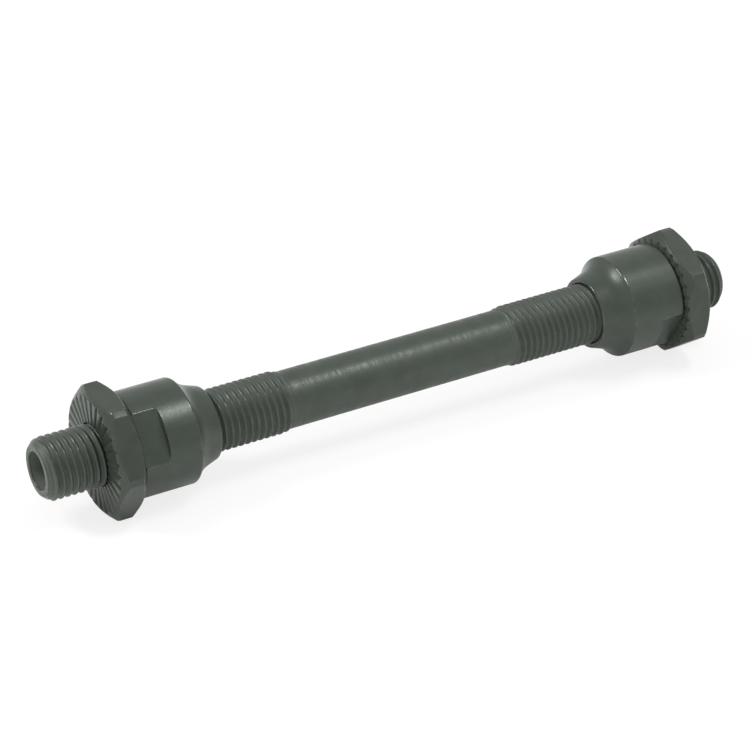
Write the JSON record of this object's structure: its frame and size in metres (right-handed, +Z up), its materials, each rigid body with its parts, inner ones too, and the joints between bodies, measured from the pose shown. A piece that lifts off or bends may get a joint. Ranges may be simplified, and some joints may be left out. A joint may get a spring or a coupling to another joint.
{
  "type": "bicycle hub axle",
  "caption": "Hollow front wheel axle threaded at both ends, carrying bearing cones with spanner flats and serrated hexagon lock nuts, for a quick-release skewer.",
  "frame": {"origin": "middle of the axle's length, on its axis", "axes": "+X along the axle towards its right end, +Z up as it lies on a table, -Y towards the camera side"},
  "size_m": [0.1092, 0.019, 0.019],
  "materials": {
    "axle_steel": "blackened steel, rolled threads, satin",
    "cone_steel": "blackened hardened steel with fine turning marks, satin",
    "nut_steel": "blackened steel, satin, edges slightly worn"
  },
  "bodies": {
    "axle": {"hollow_axle": "axle_steel"},
    "left_cone": {"left_cone": "cone_steel"},
    "right_cone": {"right_cone": "cone_steel"},
    "left_locknut": {"left_locknut": "nut_steel"},
    "right_locknut": {"right_locknut": "nut_steel"}
  },
  "joints": [
    {"name": "left_cone_travel", "type": "slide", "parent": "axle", "child": "left_cone", "axis": [1, 0, 0], "range_m": [0, 0.01]},
    {"name": "right_cone_travel", "type": "slide", "parent": "axle", "child": "right_cone", "axis": [-1, 0, 0], "range_m": [0, 0.012]},
    {"name": "left_locknut_travel", "type": "slide", "parent": "axle", "child": "left_locknut", "axis": [-1, 0, 0], "range_m": [0, 0.0083]},
    {"name": "right_locknut_travel", "type": "slide", "parent": "axle", "child": "right_locknut", "axis": [1, 0, 0], "range_m": [0, 0.0056]}
  ]
}
